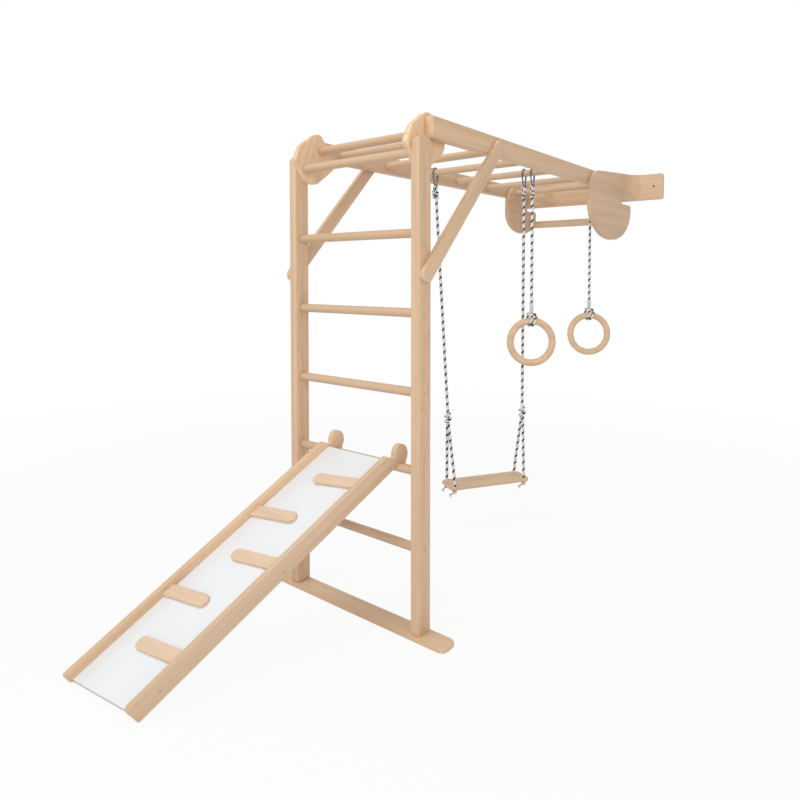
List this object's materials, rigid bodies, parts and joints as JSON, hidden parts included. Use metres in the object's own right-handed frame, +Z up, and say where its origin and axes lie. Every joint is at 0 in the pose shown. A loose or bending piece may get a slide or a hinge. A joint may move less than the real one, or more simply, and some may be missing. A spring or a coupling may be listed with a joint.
{
  "type": "indoor climbing frame with slide, swing and rings",
  "caption": "Wooden ladder with overhead rungs running to a wall rail, a hooked-on slide with cleats, a board swing on ropes and gymnastic rings.",
  "frame": {"origin": "on the floor under the ladder, midway between the two posts", "axes": "+X to the right along the rungs, +Y from the ladder towards the wall, +Z up"},
  "size_m": [0.976, 2.8685, 1.812],
  "materials": {
    "birch": "clear satin varnish",
    "white_board": "white laminate",
    "steel": "zinc plated",
    "rope": "white braid with black flecks",
    "clear_sleeve": "clear shrink sleeve"
  },
  "bodies": {
    "frame": {"floor_rail": "birch", "left_post": "birch", "right_post": "birch", "ladder_rung_1": "birch", "ladder_rung_2": "birch", "ladder_rung_3": "birch", "ladder_rung_4": "birch", "ladder_rung_5": "birch", "left_cheek_plate": "birch", "right_cheek_plate": "birch", "front_top_rung": "birch", "shoulder_rung": "birch", "left_beam": "birch", "right_beam": "birch", "monkey_rung_1": "birch", "monkey_rung_2": "birch", "monkey_rung_3": "birch", "monkey_rung_4": "birch", "monkey_rung_5": "birch", "monkey_rung_6": "birch", "left_brace": "birch", "right_brace": "birch", "wall_rail": "birch", "left_hook_plate": "birch", "right_hook_plate": "birch", "pull_up_bar": "birch"},
    "slide": {"slide_left_rail": "birch", "slide_right_rail": "birch", "slide_board": "white_board", "slide_cleat_1": "birch", "slide_cleat_2": "birch", "slide_cleat_3": "birch", "slide_cleat_4": "birch", "slide_cleat_5": "birch"},
    "swing": {"swing_seat": "birch", "swing_hook_left": "steel", "swing_rope_left": "rope", "swing_knot_left": "rope", "swing_leg_left_front": "rope", "seat_knot_left_front": "rope", "swing_leg_left_back": "rope", "seat_knot_left_back": "rope", "swing_hook_right": "steel", "swing_rope_right": "rope", "swing_knot_right": "rope", "swing_leg_right_front": "rope", "seat_knot_right_front": "rope", "swing_leg_right_back": "rope", "seat_knot_right_back": "rope"},
    "ring_left_set": {"ring_left": "birch", "ring_hook_left": "steel", "ring_lashing_left": "rope", "ring_rope_left": "rope", "ring_sleeve_left": "clear_sleeve"},
    "ring_right_set": {"ring_right": "birch", "ring_hook_right": "steel", "ring_lashing_right": "rope", "ring_rope_right": "rope", "ring_sleeve_right": "clear_sleeve"}
  },
  "joints": [
    {"name": "slide_tilt", "type": "hinge", "parent": "frame", "child": "slide", "pos_m": [0, 0, 0.57], "axis": [-1, 0, 0], "range_deg": [0, 40]},
    {"name": "swing_sway", "type": "hinge", "parent": "frame", "child": "swing", "pos_m": [-0.0515, 0.954, 1.74], "axis": [0.7329, 0.6803, 0], "range_deg": [-1, 35]},
    {"name": "ring_left_sway", "type": "hinge", "parent": "frame", "child": "ring_left_set", "pos_m": [0.154, 1.103, 1.74], "axis": [1, 0, 0], "range_deg": [-35, 1.5]},
    {"name": "ring_right_sway", "type": "hinge", "parent": "frame", "child": "ring_right_set", "pos_m": [0.202, 1.709, 1.74], "axis": [1, 0, 0], "range_deg": [-24, 12]}
  ]
}
